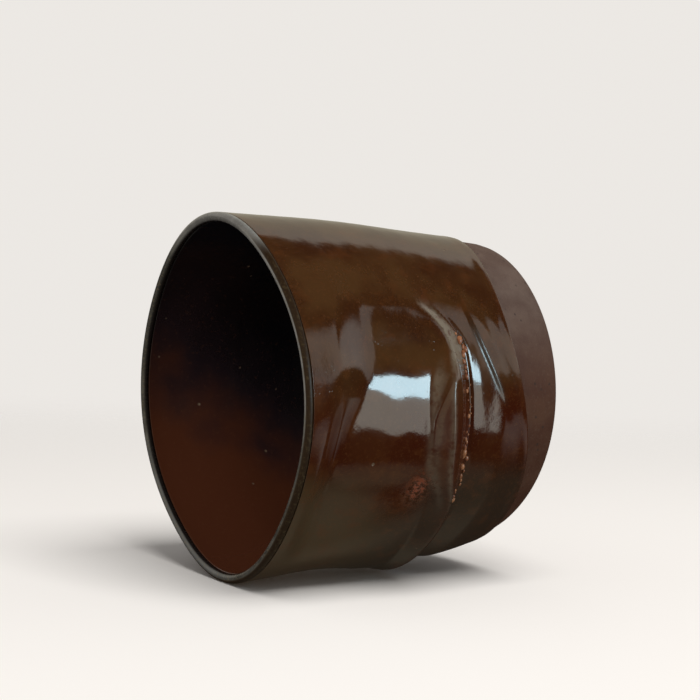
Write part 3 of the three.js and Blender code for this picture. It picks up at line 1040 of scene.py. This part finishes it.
# Floor that the cup lies on: it touches the rim and the sagging side. Sizes in the studio are metres.
FLOOR_UP = Vector((0.9992, -0.05, -0.041)).normalized()
FLOOR_SIZE = 3.0
FLOOR_COLOUR = (0.95, 0.93, 0.91)
FLOOR_FADE = (0.10, 0.60)
CUP_MIDDLE = Vector((0, 0, CUP_HEIGHT * MM / 2))


def lowest_along(direction, pieces):
    return min(min(direction.dot(vert.co) for vert in piece.data.vertices) for piece in pieces)


def floor_finish():
    material, finish = new_finish("pale_floor")
    spot = finish.add("ShaderNodeNewGeometry", output="Position")
    away = finish.add("ShaderNodeVectorMath", {"operation": "DOT_PRODUCT"}, {0: spot, 1: CAMERA_AHEAD}, 1)
    fade = finish.step(away, *FLOOR_FADE)
    below = finish.add("ShaderNodeNewGeometry", output="Backfacing")
    unseen = fade.math("MAXIMUM", fade, below)
    pale = finish.add("ShaderNodeBsdfDiffuse", {}, {"Color": full(FLOOR_COLOUR)})
    clear = finish.add("ShaderNodeBsdfTransparent")
    shader = finish.add("ShaderNodeMixShader", {}, {0: unseen, 1: pale, 2: clear})
    finish.add("ShaderNodeOutputMaterial", {}, {"Surface": shader})
    return material


deselect()
bpy.ops.mesh.primitive_plane_add(size=FLOOR_SIZE)
floor = bpy.context.object
floor.name = "studio_floor"
level = lowest_along(FLOOR_UP, (outer, rim, clay))
laid = FLOOR_UP.to_track_quat("Z", "Y").to_matrix().to_4x4()
floor.matrix_world = Matrix.Translation(FLOOR_UP * level) @ laid
floor.data.materials.append(floor_finish())
floor.visible_diffuse = False
floor.visible_glossy = False
floor.visible_shadow = False


# World: pale to the camera, a pale sweep in a dark room to the glaze, dim light to the rest
SEEN_WORLD = (0.84, 0.81, 0.775)
DIM_WORLD = (0.30, 0.29, 0.28)
SWEEP_TINT = (1.0, 0.97, 0.92)
WALL_TINT = (0.92, 0.85, 0.62)
DARK_ROOM = 0.02


def studio_world():
    world = bpy.data.worlds.new("studio")
    bpy.context.scene.world = world
    world.use_nodes = True
    finish = Finish(world.node_tree)
    direction = finish.add("ShaderNodeTexCoord", output="Generated")

    def towards(axis):
        return finish.add("ShaderNodeVectorMath", {"operation": "DOT_PRODUCT"}, {0: direction, 1: axis}, 1)

    up = towards(CAMERA_UP)
    ahead = towards(CAMERA_AHEAD)
    right = towards(CAMERA_RIGHT)
    # The sweep stands behind the cup and to its right, its top edge lower in a dip and dimmer at the back
    dip = finish.span(ahead, -0.08, 0.12, 0.37, 0.45)
    back = finish.step(ahead, 0.4, 0.9)
    under_top = 1 - finish.step(up - 0.34 * back + 0.25 * dip, 0.58, 0.68)
    beside = finish.step(right + 2.5 * ahead, -0.08, 0.08)
    sweep = finish.step(up, 0.09, 0.15) * under_top * beside
    # A wall on the left and in front of the cup
    left = finish.step(0.30 - right, 0.0, 0.2) * finish.span(up, -0.75, -0.55, 0.62, 0.8)
    left = left * (1 - finish.step(ahead, 0.2, 0.5)) * (1 - sweep)
    # A low strip of floor, and the floor below with a dark gap
    low = finish.span(ahead, -0.29, -0.21, 0.34, 0.44) * finish.span(up, -0.62, -0.4, -0.34, -0.26)
    gap = finish.span(ahead, -0.03, 0.02, 0.2, 0.25)
    below = finish.step(0 - up, 0.74, 0.80) * (1 - finish.step(ahead, 0.6, 0.8)) * (1 - left) * (1 - gap)
    glow = DARK_ROOM + (0.97 - 0.51 * back) * sweep + 0.75 * left + 0.45 * low + 0.28 * below
    tint = finish.blend(left + below + 0.8 * back, SWEEP_TINT, WALL_TINT)
    reflected = finish.blend(glow, (0, 0, 0), tint)
    path = {name: finish.add("ShaderNodeLightPath", output=name)
            for name in ("Is Camera Ray", "Is Glossy Ray", "Is Transmission Ray")}
    seen = path["Is Camera Ray"] + path["Is Transmission Ray"]
    colour = finish.blend(path["Is Glossy Ray"], DIM_WORLD, reflected)
    colour = finish.blend(seen, colour, SEEN_WORLD)
    background = finish.add("ShaderNodeBackground", {}, {"Color": colour, "Strength": 1.0})
    finish.add("ShaderNodeOutputWorld", {}, {"Surface": background})


studio_world()


def soft_light(name, direction, distance, size, power, colour, mirrored, lit):
    data = bpy.data.lights.new(name, "AREA")
    data.shape = "RECTANGLE"
    data.size, data.size_y = size
    data.energy = power
    data.color = colour
    lamp = bpy.data.objects.new(name, data)
    bpy.context.scene.collection.objects.link(lamp)
    place = CUP_MIDDLE + direction * distance
    across = CAMERA_UP.cross(direction).normalized()
    turned = Matrix((across, direction.cross(across), direction)).transposed()
    lamp.matrix_world = Matrix.Translation(place) @ turned.to_4x4()
    lamp.visible_glossy = mirrored
    lamp.light_linking.receiver_collection = bpy.data.collections.new("lit_by_" + name)
    for piece in lit:
        lamp.light_linking.receiver_collection.objects.link(piece)


CUP = tuple(piece for piece, _, _ in PIECES)
SKY = (0.64, 0.89, 1.0)
GROUND = (0.98, 1.0, 0.90)
WARM = (1.0, 0.98, 0.95)

# Lamps, as name, side, height, distance, size, watts, colour, mirrored by the glaze or not, and what is lit
LAMPS = (
    ("window_sky", 51, 8.6, 0.9, (0.28, 0.31), 5.3, SKY, True, CUP),
    ("window_ground", 51, -15, 0.9, (0.28, 0.43), 1.02, GROUND, True, CUP),
    ("overhead", 120, 66, 0.9, (0.9, 0.9), 6.0, WARM, False, CUP),
    ("front_fill", -25, 38, 1.0, (0.8, 0.6), 4.5, WARM, False, CUP),
    ("over_floor", 35, 58, 1.8, (1.3, 1.3), 30.5, WARM, False, (floor,)),
)
for name, side, up, *rest in LAMPS:
    soft_light(name, studio_direction(side, up), *rest)

bpy.context.scene.view_settings.view_transform = "Standard"
